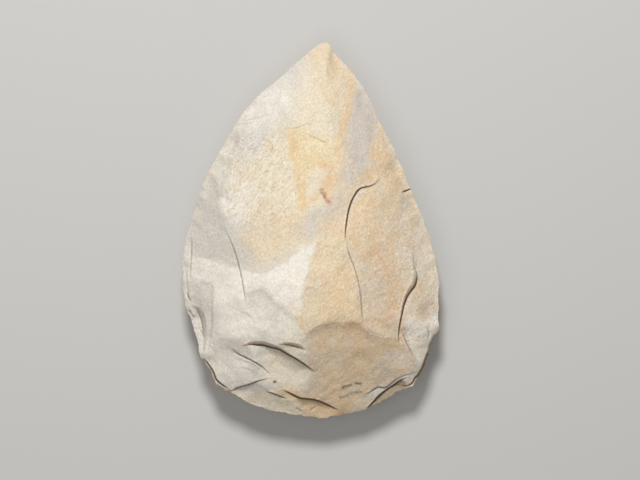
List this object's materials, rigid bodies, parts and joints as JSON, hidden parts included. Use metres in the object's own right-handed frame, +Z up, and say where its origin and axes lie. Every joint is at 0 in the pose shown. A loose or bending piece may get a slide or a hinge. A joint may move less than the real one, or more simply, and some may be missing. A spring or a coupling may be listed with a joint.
{
  "type": "stone hand axe",
  "caption": "Pear-shaped biface knapped from pale chert: a pointed tip, a sharp edge all round, a thick rounded butt and flake scars over both faces.",
  "frame": {"origin": "on the ground, under the middle of the stone's box as it lies on its lower face", "axes": "+Z up through the stone's thickness, +Y along its length towards the tip, +X across it"},
  "size_m": [0.1032, 0.1502, 0.0378],
  "materials": {
    "flaked_stone": "matte"
  },
  "bodies": {
    "root": {"hand_axe": "flaked_stone"}
  },
  "joints": []
}
